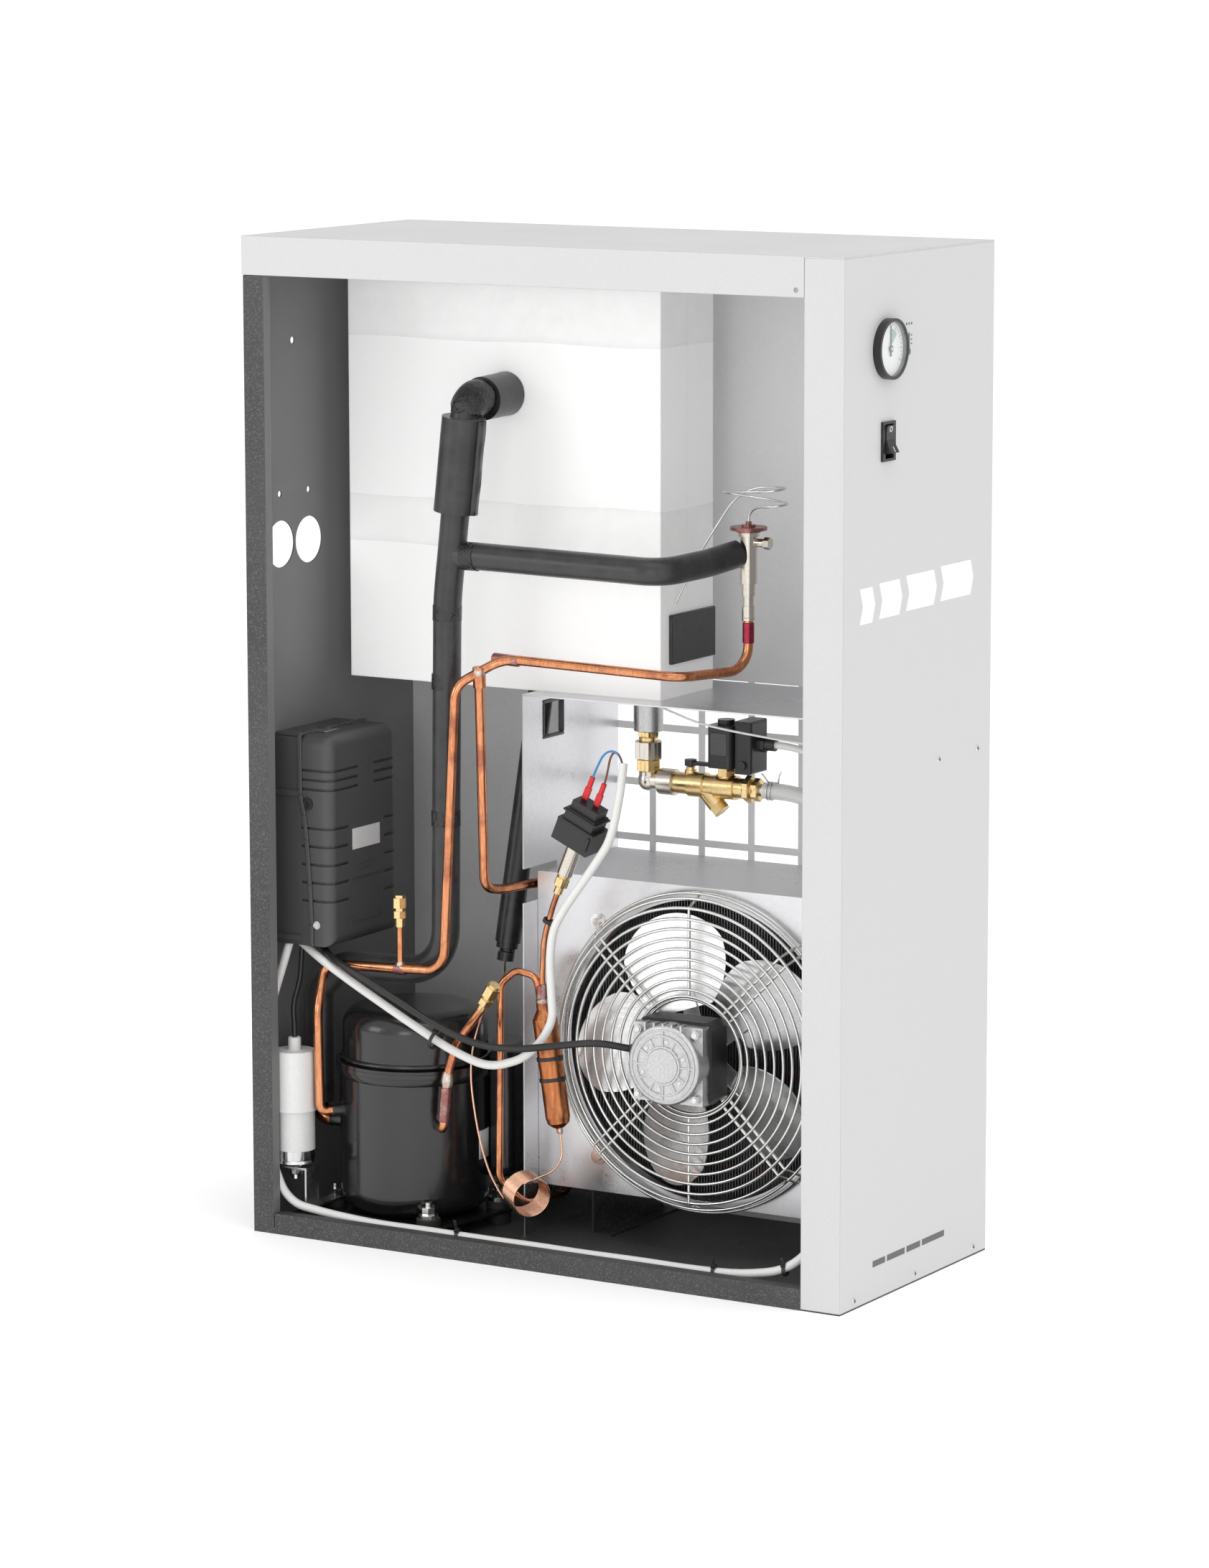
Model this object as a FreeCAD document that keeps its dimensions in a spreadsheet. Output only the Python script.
"""Refrigerated compressed-air dryer, seen with its service cover off: a parametric FreeCAD document.

Frame: +X towards the narrow control panel, the open service side faces -Y, +Z up,
origin at the centre of the cabinet's underside.  Millimetres and degrees.
"""
import FreeCAD, Part
import math
import os
import re

import Sketcher
from FreeCAD import Placement, Rotation, Vector

CELLS = (
    # alias, value, what it sets
    ("cab_len", 666, "cabinet length along X"),
    ("cab_wid", 301, "cabinet width along Y"),
    ("cab_tall", 994, "cabinet height"),
    ("skin", 1.5, "sheet metal thickness"),
    ("rear_post", 23.5, "face width of the rear panel's flange"),
    ("front_post", 42, "face width of the front panel's flange"),
    ("post_depth", 12, "depth of a flange's inner return"),
    ("top_lip", 38, "height of the top cover's long flanges"),
    ("top_end_lip", 23.5, "height of the top cover's end flange"),
    ("base_lip", 20.8, "height of the base pan's lip"),
    ("base_shelf", 14, "width of the lip's inner return"),
    ("base_sill", 6, "height of the base pan under the rear panel"),
    ("seam_gap", 0.5, "gap between neighbouring panels"),
    ("works_rear", 333, "from the works' datum to the rear panel's outer face"),
    ("works_far", 150.5, "from the works' datum to the far panel's outer face"),
    ("screw_head", 3.4, "radius of a cabinet screw's head"),
    ("screw_rise", 1.6, "height of a cabinet screw's head"),
    ("knock_rad", 23.4, "radius of a spare connection hole"),
    ("knock_pitch", 49.5, "distance between the spare connection holes"),
    ("grille_pitch", 57, "distance between the grille's bars"),
    ("grille_bar", 7, "width of a grille bar"),
    ("grille_left", -98.5, "left edge of the grille's window"),
    ("grille_low", 41, "lower edge of the grille's window"),
    ("divider_near", -35, "near edge of the divider and the shelf"),
    ("divider_face", -87, "rear face of the divider"),
    ("shelf_low", 544.8, "underside of the exchanger's shelf"),
    ("foam_rear", -306, "rear end of the exchanger's insulation"),
    ("foam_front", 54, "front end of the exchanger's insulation"),
    ("foam_near", -6, "near face of the insulation"),
    ("foam_split", 45, "joint between the two insulation shells"),
    ("foam_far", 96, "far face of the insulation"),
    ("foam_wall", 26, "thickness of the insulation's end walls"),
    ("foam_skin", 15, "thickness of the insulation's near and far walls"),
    ("foam_head", 46, "space above the insulation"),
    ("core_gap", 0.5, "clearance around the exchanger core"),
    ("air_rad", 16.6, "radius of an air connection"),
    ("air_bore", 13.5, "bore radius of an air connection"),
    ("air_reach", 40, "how far an air connection stands out of the rear panel"),
    ("air_line", 63, "the air connections' place along Y"),
    ("air_drop", 144, "upper air connection, below the cabinet's top"),
    ("air_pitch", 150, "distance between the air connections"),
    ("comp_cx", -212, "compressor axis, X"),
    ("comp_cy", -38, "compressor axis, Y"),
    ("comp_rad", 76, "compressor shell radius"),
    ("comp_wall", 3, "compressor shell thickness"),
    ("comp_base", 17, "underside of the compressor shell"),
    ("comp_seam", 168, "height of the seam between shell and lid"),
    ("comp_top", 225, "top of the compressor lid"),
    ("comp_flange", 79.5, "radius of the welded seam"),
    ("foot_long", 129, "compressor bolt spacing, long way"),
    ("foot_wide", 102, "compressor bolt spacing, short way"),
    ("foot_turn", -10.7, "turn of the compressor's feet about Z"),
    ("foot_plate", 3, "thickness of the compressor's foot plate"),
    ("fan_cx", 103, "fan axis, X"),
    ("fan_cz", 204, "fan axis, height"),
    ("fan_rad", 141, "blade tip radius"),
    ("fan_mouth", 150, "radius of the opening in the shroud"),
    ("guard_rad", 160, "outer radius of the guard"),
    ("guard_wire", 1.5, "radius of the guard's wire"),
    ("guard_hub", 57, "radius of the guard's innermost ring"),
    ("guard_face", -38, "plane of the guard's rings"),
    ("ring_pitch", 9.9, "distance between the guard's rings"),
    ("blade_pitch", 22, "pitch angle of a blade"),
    ("shroud_near", -9, "near face of the shroud"),
    ("shroud_low", 50, "underside of the shroud"),
    ("shroud_top", 367, "top of the shroud"),
    ("shroud_rear", -85.3, "rear end of the shroud"),
    ("shroud_front", 296, "front end of the shroud"),
    ("shroud_skin", 1.2, "thickness of the shroud's sheet"),
    ("fin_inset", 13, "from the shroud's ends to the condenser's fins"),
    ("coil_near", 14, "near face of the condenser's fins"),
    ("coil_far", 84, "far face of the condenser's fins"),
    ("motor_half", 41.5, "half the width of the motor's stator"),
    ("shaft_rad", 4, "radius of the fan shaft"),
    ("pin_rad", 1.2, "pivot pins of pointer and rocker"),
    ("rocker_tilt", -10, "rest angle of the rocker"),
    ("shaft_gap", 0.05, "running clearance of the fan shaft"),
    ("box_near", -110, "near face of the electric box"),
    ("box_far", 10, "far face of the electric box"),
    ("box_low", 288, "underside of the electric box"),
    ("box_high", 500, "top of the electric box"),
    ("box_seam", -300, "joint between the box and its cover"),
    ("box_face", -262, "face of the box's cover"),
    ("cap_cx", -306, "capacitor axis, X"),
    ("cap_cy", -115, "capacitor axis, Y"),
    ("cap_rad", 19.5, "capacitor can radius"),
    ("valve_cx", 137, "hot gas valve axis, X"),
    ("valve_cy", 20, "hot gas valve axis, Y"),
    ("drain_cx", 19, "drain pipe axis, X"),
    ("drain_cy", 30, "drain pipe axis, Y"),
    ("drain_cz", 461, "height of the drain valve's axis"),
    ("outlet_cx", 313, "drain outlet, X from the works' datum"),
    ("outlet_cz", 430, "drain outlet, height"),
    ("outlet_rad", 5, "radius of the drain outlet's nozzle"),
    ("coil_cx", 107, "solenoid axis, X"),
    ("plunger_rad", 4.5, "radius of the solenoid's plunger"),
    ("lever_cx", 67, "drain cock axis, X"),
    ("gauge_cy", -67, "gauge axis, Y"),
    ("gauge_drop", 89, "gauge axis, below the cabinet's top"),
    ("gauge_rad", 28.5, "radius of the gauge's bezel"),
    ("gauge_bore", 25.5, "inner radius of the gauge's bezel"),
    ("gauge_body", 24, "radius of the gauge's body"),
    ("switch_cy", -66, "switch axis, Y"),
    ("switch_drop", 175, "switch axis, below the cabinet's top"),
    ("hot_rad", 4.76, "radius of the hot gas and liquid pipes"),
    ("suction_rad", 8, "radius of the suction pipe"),
    ("foam_tube", 14, "outer radius of the suction line's insulation"),
    ("sleeve_rad", 21.5, "outer radius of the thick sleeves"),
    ("fine_rad", 1.5, "radius of the capillary tube"),
    ("white_rad", 4.2, "radius of the white cables"),
    ("black_rad", 3.5, "radius of the fan's cable"),
)

doc = FreeCAD.newDocument("air_dryer")
sheet = doc.addObject("Spreadsheet::Sheet", "dims")
for row, (alias, value, note) in enumerate(CELLS, start=1):
    sheet.set(f"A{row}", note)
    sheet.set(f"B{row}", str(value))
    sheet.setAlias(f"B{row}", alias)
doc.recompute()
NAMES = {alias for alias, value, note in CELLS}
NODES = []

# Rules in the sheet's cells.  The works have a datum of their own, so that they
# keep their place against the rear and far panels when the cabinet changes.
HALF_X = "cab_len / 2"
HALF_Y = "cab_wid / 2"
WORKS_X = "(works_rear - cab_len / 2)"
WORKS_Y = "(cab_wid / 2 - works_far)"
FAR_IN = "(works_far - 2 * skin)"
REAR_IN = "(skin - works_rear)"
WEB_IN = "(cab_len / 2 - skin)"


def val(alias):
    """A cell's number, for the shapes that are built by Part's own functions."""
    return float(sheet.get(alias))


def bind(item, prop, rule):
    """Tie a property to a rule written in cell names."""
    text = re.sub(r"[a-z_]+", lambda word: ("dims." if word.group() in NAMES else "") + word.group(), str(rule))
    item.setExpression(prop, text)


def block(name, x, y, z):
    """A box between two bounds on each axis; each bound is a rule."""
    box = doc.addObject("Part::Box", name)
    for side, axis, (low, high) in (("Length", "x", x), ("Width", "y", y), ("Height", "z", z)):
        bind(box, side, f"({high}) - ({low})")
        bind(box, f"Placement.Base.{axis}", low)
    return box


TURNS = {
    "x": Rotation(Vector(0, 1, 0), 90),
    "y": Rotation(Vector(1, 0, 0), -90),
    "z": Rotation(),
}


def seat(item, along, span, centre):
    """Lay an item that grows along +Z on another axis, from the span's low end."""
    item.Placement = Placement(Vector(), TURNS[along])
    across = [axis for axis in "xyz" if axis != along]
    bind(item, f"Placement.Base.{along}", span[0])
    bind(item, f"Placement.Base.{across[0]}", centre[0])
    bind(item, f"Placement.Base.{across[1]}", centre[1])


def rod(name, radius, along, span, centre):
    """A cylinder along an axis; centre gives the other two coordinates."""
    item = doc.addObject("Part::Cylinder", name)
    bind(item, "Radius", radius)
    bind(item, "Height", f"({span[1]}) - ({span[0]})")
    seat(item, along, span, centre)
    return item


def taper(name, radii, along, span, centre):
    """A cone frustum along an axis."""
    item = doc.addObject("Part::Cone", name)
    bind(item, "Radius1", radii[0])
    bind(item, "Radius2", radii[1])
    bind(item, "Height", f"({span[1]}) - ({span[0]})")
    seat(item, along, span, centre)
    return item


def hexagon(name, radius, along, span, centre):
    """A hexagonal prism along an axis; radius is to its corners."""
    item = doc.addObject("Part::Prism", name)
    item.Polygon = 6
    bind(item, "Circumradius", radius)
    bind(item, "Height", f"({span[1]}) - ({span[0]})")
    seat(item, along, span, centre)
    return item


def ring(name, radius, wire, along, place, centre):
    """A torus whose axis lies along an axis."""
    item = doc.addObject("Part::Torus", name)
    bind(item, "Radius1", radius)
    bind(item, "Radius2", wire)
    seat(item, along, (place, place), centre)
    return item


def join(name, *items):
    """One solid, or one group, of several items."""
    item = doc.addObject("Part::MultiFuse", name)
    item.Shapes = list(items)
    return item


def carve(name, base, *tools):
    """The base with the tools cut out of it."""
    item = doc.addObject("Part::Cut", name)
    item.Base = base
    item.Tool = tools[0] if len(tools) == 1 else join(name + "_tools", *tools)
    return item


def soften(name, base, radius, chosen):
    """Fillet the edges for which chosen(edge) is true."""
    doc.recompute()
    item = doc.addObject("Part::Fillet", name)
    item.Base = base
    picked = [i for i, edge in enumerate(base.Shape.Edges, start=1) if chosen(edge)]
    item.Edges = [(i, radius, radius) for i in picked]
    return item


def node(label, item, works=True):
    """Register a sub-part; the works follow the rear and far panels."""
    if works and item.TypeId == "Part::Box":
        item = soften(label + "_edges", item, 1, lambda edge: True)
    item.Label = label
    if works:
        bind(item, "Placement.Base.x", WORKS_X)
        bind(item, "Placement.Base.y", WORKS_Y)
    NODES.append(item)
    return item


def works_offset():
    """Where the works' datum lies in the cabinet's frame."""
    shift_x = val("works_rear") - val("cab_len") / 2
    shift_y = val("cab_wid") / 2 - val("works_far")
    return Vector(shift_x, shift_y, 0)


def made(label, shape, works=True):
    """A sub-part whose shape comes from Part's own functions."""
    item = doc.addObject("Part::Feature", label)
    item.Shape = shape
    item.Label = label
    if works:
        item.Placement = Placement(works_offset(), Rotation()).multiply(shape.Placement)
    NODES.append(item)
    return item


# ---------------------------------------------------------------- sketches

def plane_of(body, role):
    """One of a body's own origin planes, by its role."""
    return next(p for p in body.Origin.OriginFeatures if p.Role == role)


def sketch(body, name, role, offset="0"):
    """A sketch on a body's origin plane, moved along the plane's normal."""
    item = body.newObject("Sketcher::SketchObject", name)
    item.AttachmentSupport = [(plane_of(body, role), "")]
    item.MapMode = "FlatFace"
    bind(item, "AttachmentOffset.Base.z", offset)
    return item


def fix_point(item, index, point, place):
    """Hold a sketch point at two signed distances from the origin."""
    for kind, rule in zip(("DistanceX", "DistanceY"), place):
        at = item.addConstraint(Sketcher.Constraint(kind, -1, 1, index, point, 1.0))
        bind(item, f"Constraints[{at}]", rule)


def outline(item, points):
    """A closed outline of straight runs; each point is a pair of rules."""
    count = len(points)
    corners = []
    for i in range(count):
        turn = 2 * math.pi * i / count
        corners.append(Vector(10 * math.cos(turn), 10 * math.sin(turn), 0))
    first = item.GeometryCount
    for i in range(count):
        item.addGeometry(Part.LineSegment(corners[i], corners[(i + 1) % count]))
    for i in range(count):
        item.addConstraint(Sketcher.Constraint("Coincident", first + i, 2, first + (i + 1) % count, 1))
    for i, place in enumerate(points):
        fix_point(item, first + i, 1, place)


def circle(item, radius, place):
    """A circle held by its centre and radius."""
    index = item.addGeometry(Part.Circle(Vector(1, 1, 0), Vector(0, 0, 1), 5))
    fix_point(item, index, 3, place)
    at = item.addConstraint(Sketcher.Constraint("Radius", index, 5.0))
    bind(item, f"Constraints[{at}]", radius)


def feature(body, kind, name, profile, length=None, reverse=False):
    """A pad or a pocket of a sketch."""
    item = body.newObject(kind, name)
    item.Profile = profile
    item.Reversed = reverse
    if length is not None:
        bind(item, "Length", length)
    return item


def turned(body, name, profile, axis="V_Axis"):
    """A full revolution of a sketch about one of its axes."""
    item = body.newObject("PartDesign::Revolution", name)
    item.Profile = profile
    item.ReferenceAxis = (profile, [axis])
    item.Angle = 360
    return item


# ---------------------------------------------------------------- pipes

def rounded_path(points, radii):
    """A wire of straight runs joined by tangent arcs."""
    points = [Vector(*p) for p in points]
    edges = []
    start = points[0]
    for i in range(1, len(points) - 1):
        before = (points[i - 1] - points[i]).normalize()
        after = (points[i + 1] - points[i]).normalize()
        turn = math.pi - before.getAngle(after)
        set_back = radii[i - 1] * math.tan(turn / 2)
        first = points[i] + before * set_back
        last = points[i] + after * set_back
        inward = (before + after).normalize()
        middle = points[i] + inward * (radii[i - 1] / math.cos(turn / 2) - radii[i - 1])
        edges.append(Part.LineSegment(start, first).toShape())
        edges.append(Part.Arc(first, middle, last).toShape())
        start = last
    edges.append(Part.LineSegment(start, points[-1]).toShape())
    return Part.Wire(edges)


def fair_radii(points):
    """The largest arcs that a route's runs allow."""
    points = [Vector(*p) for p in points]
    radii = []
    for i in range(1, len(points) - 1):
        before = points[i - 1] - points[i]
        after = points[i + 1] - points[i]
        turn = math.pi - before.getAngle(after)
        radii.append(0.45 * min(before.Length, after.Length) / math.tan(turn / 2))
    return radii


def tube(points, radii, outer, inner=0.0, note=None):
    """A round pipe along a route, compared with its section times its length."""
    path = rounded_path(points, radii)
    heading = (Vector(*points[1]) - Vector(*points[0])).normalize()
    solids = []
    for radius in (outer, inner):
        if radius <= 0:
            continue
        hoop = Part.Wire(Part.Circle(Vector(*points[0]), heading, radius).toShape())
        solid = path.makePipeShell([hoop], True, False)
        share = solid.Volume / (math.pi * radius ** 2 * path.Length)
        if not 0.97 < share < 1.03:
            raise RuntimeError(f"pipe {note or points[0]}: volume is {share:.3f} of section times length")
        solids.append(solid)
    if note:
        listed = ", ".join(f"{r:.0f}" for r in radii)
        print(f"{note}: {path.Length:.0f} mm long, bend radii {listed}")
    return solids[0].cut(solids[1]) if len(solids) > 1 else solids[0]


def bar(start, end, radius):
    """A straight round bar between two points."""
    start = Vector(*start)
    run = Vector(*end) - start
    return Part.makeCylinder(radius, run.Length, start, run)


def stack_along(start, heading, pieces):
    """Round and hexagonal steps one after another along a line: (kind, radius, length)."""
    shapes = []
    place = Placement(Vector(*start), Rotation(Vector(0, 0, 1), Vector(*heading)))
    height = 0.0
    for kind, radius, length in pieces:
        if kind == "hex":
            corners = [Vector(radius * math.cos(math.pi * i / 3), radius * math.sin(math.pi * i / 3), height)
                       for i in range(7)]
            step = Part.Face(Part.makePolygon(corners)).extrude(Vector(0, 0, length))
        else:
            step = Part.makeCylinder(radius, length, Vector(0, 0, height))
        step.Placement = place.multiply(step.Placement)
        shapes.append(step)
        height += length
    return shapes[0].multiFuse(shapes[1:]).removeSplitter() if len(shapes) > 1 else shapes[0]


# ---------------------------------------------------------------- cabinet

def base_pan():
    """The pan that everything stands on, with a lip along each long side."""
    left = f"-{HALF_X} + rear_post + 1.5"
    right = f"{HALF_X} - front_post - seam_gap"
    pieces = [
        block("pan_floor", (f"-{HALF_X}", HALF_X), (f"-{HALF_Y}", HALF_Y), ("0", "skin")),
        block("pan_sill", (f"-{HALF_X}", f"-{HALF_X} + skin"), (f"-{HALF_Y}", HALF_Y), ("0", "base_sill")),
    ]
    for side, name in ((-1, "near"), (1, "far")):
        edge = f"{side} * {HALF_Y}"
        lip = (edge, f"{edge} + skin") if side < 0 else (f"{edge} - skin", edge)
        inner = (edge, f"{edge} + base_shelf") if side < 0 else (f"{edge} - 2 * skin", edge)
        pieces.append(block(f"pan_{name}_lip", (left, right), lip, ("0", "base_lip")))
        if side < 0:
            pieces.append(block(f"pan_{name}_shelf", (left, right), inner, ("base_lip - skin", "base_lip")))
        pieces.append(block(f"pan_{name}_tab", (f"-{HALF_X}", left), lip, ("0", "base_sill")))
    node("base_pan", join("pan", *pieces), works=False)


def post_pieces(name, side_x, width, low, high):
    """The near flange with its inner return, and the far flange, of an end panel."""
    edge = f"{side_x} * {HALF_X}"
    inner = f"{edge} - {side_x} * {width}"
    span = (edge, inner) if side_x < 0 else (inner, edge)
    lip = (f"{inner} - skin", inner) if side_x < 0 else (inner, f"{inner} + skin")
    return [
        block(f"{name}_flange", span, (f"-{HALF_Y}", f"-{HALF_Y} + skin"), (low, high)),
        block(f"{name}_return", lip, (f"-{HALF_Y}", f"-{HALF_Y} + post_depth"), (low, high)),
        block(f"{name}_far_flange", span, (f"{HALF_Y} - skin", HALF_Y), (low, high)),
    ]


def rear_panel():
    """Dark end panel with the holes for the air pipes and the spare connections."""
    thick = (f"-{HALF_X}", f"-{HALF_X} + skin")
    under_cover = "cab_tall - top_lip - seam_gap"
    web = block("rear_web", thick, (f"-{HALF_Y}", HALF_Y), ("base_sill", under_cover))
    tongue = block("rear_tongue", thick, (f"-{HALF_Y} + skin + 0.1", f"{HALF_Y} - skin - 0.1"),
                   (under_cover, "cab_tall - skin"))
    posts = post_pieces("rear", -1, "rear_post", "base_sill", under_cover)
    span = (f"-{HALF_X} - 1", f"-{HALF_X} + skin + 1")
    holes = []
    spare = ((-91.7, 308), (-42.2, 308))
    for i, (y, drop) in enumerate(spare):
        place = (f"{WORKS_Y} + {y}", f"cab_tall - {drop}")
        holes.append(rod(f"spare_hole_{i}", "knock_rad", "x", span, place))
    for i, (y, drop, radius) in enumerate(((-67.6, 107.5, 3.6), (-92.7, 258, 3.2), (-41.7, 258, 3.2))):
        place = (f"{WORKS_Y} + {y}", f"cab_tall - {drop}")
        holes.append(rod(f"small_hole_{i}", radius, "x", span, place))
    for i in range(2):
        place = (f"{WORKS_Y} + air_line", f"cab_tall - air_drop - {i} * air_pitch")
        holes.append(rod(f"air_hole_{i}", "air_rad + 1.5", "x", span, place))
    node("rear_panel", carve("rear", join("rear_sheet", web, tongue, *posts), *holes), works=False)


def top_cover():
    """Light cover, folded down on the long sides and over the rear panel."""
    long_span = (f"-{HALF_X} - skin", f"{HALF_X} - front_post - seam_gap")
    under = ("cab_tall - top_lip", "cab_tall - skin")
    pieces = [
        block("cover_sheet", (f"-{HALF_X} - skin", HALF_X), (f"-{HALF_Y}", HALF_Y), ("cab_tall - skin", "cab_tall")),
        block("cover_near", long_span, (f"-{HALF_Y}", f"-{HALF_Y} + skin"), under),
        block("cover_hem", long_span, (f"-{HALF_Y}", f"-{HALF_Y} + post_depth"),
              ("cab_tall - top_lip", "cab_tall - top_lip + skin")),
        block("cover_far", long_span, (f"{HALF_Y} - skin", HALF_Y), under),
        block("cover_end", (f"-{HALF_X} - skin", f"-{HALF_X}"), (f"-{HALF_Y}", HALF_Y),
              ("cab_tall - top_end_lip", "cab_tall - skin")),
    ]
    web_slot = block("cover_slot", (f"-{HALF_X} - 0.1", f"-{HALF_X} + skin + 0.1"),
                     (f"-{HALF_Y} + skin", f"-{HALF_Y} + post_depth + 1"),
                     ("cab_tall - top_lip - 1", "cab_tall - top_lip + skin + 0.1"))
    screw_hole = rod("cover_hole", 2.4, "y", (f"-{HALF_Y} - 1", f"-{HALF_Y} + skin + 1"),
                     (f"{HALF_X} - 51", "cab_tall - top_lip + 6.7"))
    node("top_cover", carve("cover", join("cover_sheets", *pieces), web_slot, screw_hole), works=False)


def front_panel():
    """Light control panel with its flanges and the cut-outs for gauge and switch."""
    high = "cab_tall - skin"
    web = block("front_web", (WEB_IN, HALF_X), (f"-{HALF_Y}", HALF_Y), ("skin", high))
    posts = post_pieces("front", 1, "front_post", "skin", high)
    through = (f"{WEB_IN} - 1", f"{HALF_X} + 1")
    gauge_hole = rod("gauge_hole", "gauge_body + 0.3", "x", through, ("gauge_cy", "cab_tall - gauge_drop"))
    switch_hole = block("switch_hole", through, ("switch_cy - 11", "switch_cy + 11"),
                        ("cab_tall - switch_drop - 17.3", "cab_tall - switch_drop + 17.3"))
    outlet_hole = rod("front_outlet_hole", "outlet_rad + 2.2", "y", (f"{HALF_Y} - 3 * skin", f"{HALF_Y} + 1"),
                      (f"{WORKS_X} + outlet_cx", "outlet_cz"))
    node("front_panel", carve("front", join("front_sheet", web, *posts), gauge_hole, switch_hole, outlet_hole),
         works=False)


def side_panel():
    """Far wall with a grille of square openings in front of the condenser."""
    depth = (f"{HALF_Y} - 2 * skin", f"{HALF_Y} - skin")
    sheet_item = block("side_sheet", (f"-{HALF_X} + skin", WEB_IN), depth, ("skin", "cab_tall - skin"))
    columns, rows = 7, 9
    left = f"{WORKS_X} + grille_left"
    right = f"{left} + {columns} * grille_pitch - grille_bar"
    high = f"grille_low + {rows} * grille_pitch - grille_bar"
    window = block("grille_window", (left, right), (f"{HALF_Y} - 3 * skin", HALF_Y), ("grille_low", high))
    bars = []
    for i in range(1, columns):
        at = f"{left} + {i} * grille_pitch - grille_bar"
        bars.append(block(f"grille_post_{i}", (at, f"{at} + grille_bar"), depth, ("grille_low", high)))
    for i in range(1, rows):
        at = f"grille_low + {i} * grille_pitch - grille_bar"
        bars.append(block(f"grille_rail_{i}", (left, right), depth, (at, f"{at} + grille_bar")))
    outlet = rod("outlet_hole", "outlet_rad + 2.2", "y", (f"{HALF_Y} - 3 * skin", HALF_Y),
                 (f"{WORKS_X} + outlet_cx", "outlet_cz"))
    pierced = carve("side_pierced", sheet_item, window, outlet)
    node("side_panel", join("side", pierced, *bars), works=False)


def cabinet_screws():
    """Domed screws and rivets that hold the panels, one group of separate solids."""
    heads = []
    near = -val("cab_wid") / 2
    half = val("cab_len") / 2
    tall = val("cab_tall")
    near_places = [(-half + 179, tall - 32.5), (half - 240, tall - 32.2), (-half + 14.5, tall - 32.8),
                   (half - 33, 777), (half - 33, 375), (half - 33, 14.8),
                   (-half + 176, 13.5), (half - 241, 13.5)]
    for x, z in near_places:
        heads.append((Vector(x, near, z), Vector(0, -1, 0)))
    for y, z in ((-123, 8.7), (0, 8.7), (123, 8.7), (42.4, 504.5), (123, 504.5)):
        heads.append((Vector(half, y * -near / 150.5, z), Vector(1, 0, 0)))
    for x, z in ((-half + 12, 20), (-half + 12, tall / 2), (half - 33, 20), (half - 33, tall / 2)):
        heads.append((Vector(x, -near, z), Vector(0, 1, 0)))
    radius, rise = val("screw_head"), val("screw_rise")
    ball = (radius ** 2 + rise ** 2) / (2 * rise)
    shapes = []
    for place, out in heads:
        disc = Part.makeCylinder(radius, rise, place, out)
        dome = Part.makeSphere(ball, place - out * (ball - rise))
        shapes.append(disc.common(dome))
    made("cabinet_screws", Part.makeCompound(shapes), works=False)


# ---------------------------------------------------------------- inner plates and insulation

def divider_plate():
    """Upright plate between the compressor and the condenser."""
    plate = block("divider_sheet", ("divider_face", "divider_face + skin"), ("divider_near", FAR_IN),
                  ("skin", "shelf_low"))
    thick = ("divider_face - 1", "divider_face + skin + 1")
    window = block("divider_window", thick, (3, 41), (497, 535))
    notch = block("divider_notch", thick, ("divider_near - 1", 30), (338, 372))
    node("divider_plate", carve("divider", plate, window, notch))


def exchanger_shelf():
    """Shelf from the divider to the control panel, under the insulated exchanger."""
    right = f"{WEB_IN} - {WORKS_X}"
    plate = block("shelf_sheet", ("divider_face", right), ("divider_near", FAR_IN), ("shelf_low", "shelf_low + skin"))
    drain = rod("shelf_drain_hole", 11.5, "z", ("shelf_low - 1", "shelf_low + skin + 1"), ("drain_cx", "drain_cy"))
    node("exchanger_shelf", carve("shelf", plate, drain))


def insulation():
    """Two foam shells around the heat exchanger, and the exchanger core in them."""
    low = "shelf_low + skin"
    high = "cab_tall - foam_head"
    inside_x = ("foam_rear + foam_wall", "foam_front - foam_wall + 2")
    inside_z = (f"{low} + foam_wall + 8", f"{high} - foam_wall")
    hollow_near, hollow_far = "foam_near + foam_skin", "foam_far - foam_skin"
    front_slab = block("foam_front_slab", ("foam_rear", "foam_front"), ("foam_near", "foam_split"), (low, high))
    front_hollow = block("foam_front_hollow", inside_x, (hollow_near, "foam_split + 1"), inside_z)
    stub_hole = rod("foam_stub_hole", "sleeve_rad + 0.2", "y", ("foam_near - 1", f"{hollow_near} + 1"),
                    (-122, "cab_tall - 156"))
    drain_hole = rod("foam_drain_hole", 10.5, "z", (f"{low} - 1", f"{low} + foam_wall + 9"), ("drain_cx", "drain_cy"))
    node("insulation_front", carve("foam_front_shell", front_slab, front_hollow, stub_hole, drain_hole))
    rear_slab = block("foam_rear_slab", ("foam_rear", "foam_front"), ("foam_split", "foam_far"), (low, high))
    rear_hollow = block("foam_rear_hollow", inside_x, ("foam_split - 1", hollow_far), inside_z)
    air_holes = [rod(f"foam_air_hole_{i}", "air_rad + 0.3", "x", ("foam_rear - 1", "foam_rear + foam_wall + 1"),
                     ("air_line", f"cab_tall - air_drop - {i} * air_pitch")) for i in range(2)]
    node("insulation_rear", carve("foam_rear_shell", rear_slab, rear_hollow, *air_holes))
    gap = "core_gap"
    core = block("exchanger_block", (f"{inside_x[0]} + {gap}", f"{inside_x[1]} - {gap}"),
                 (f"{hollow_near} + {gap}", f"{hollow_far} - {gap}"), (inside_z[0], f"{inside_z[1]} - {gap}"))
    node("exchanger_core", core)


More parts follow.
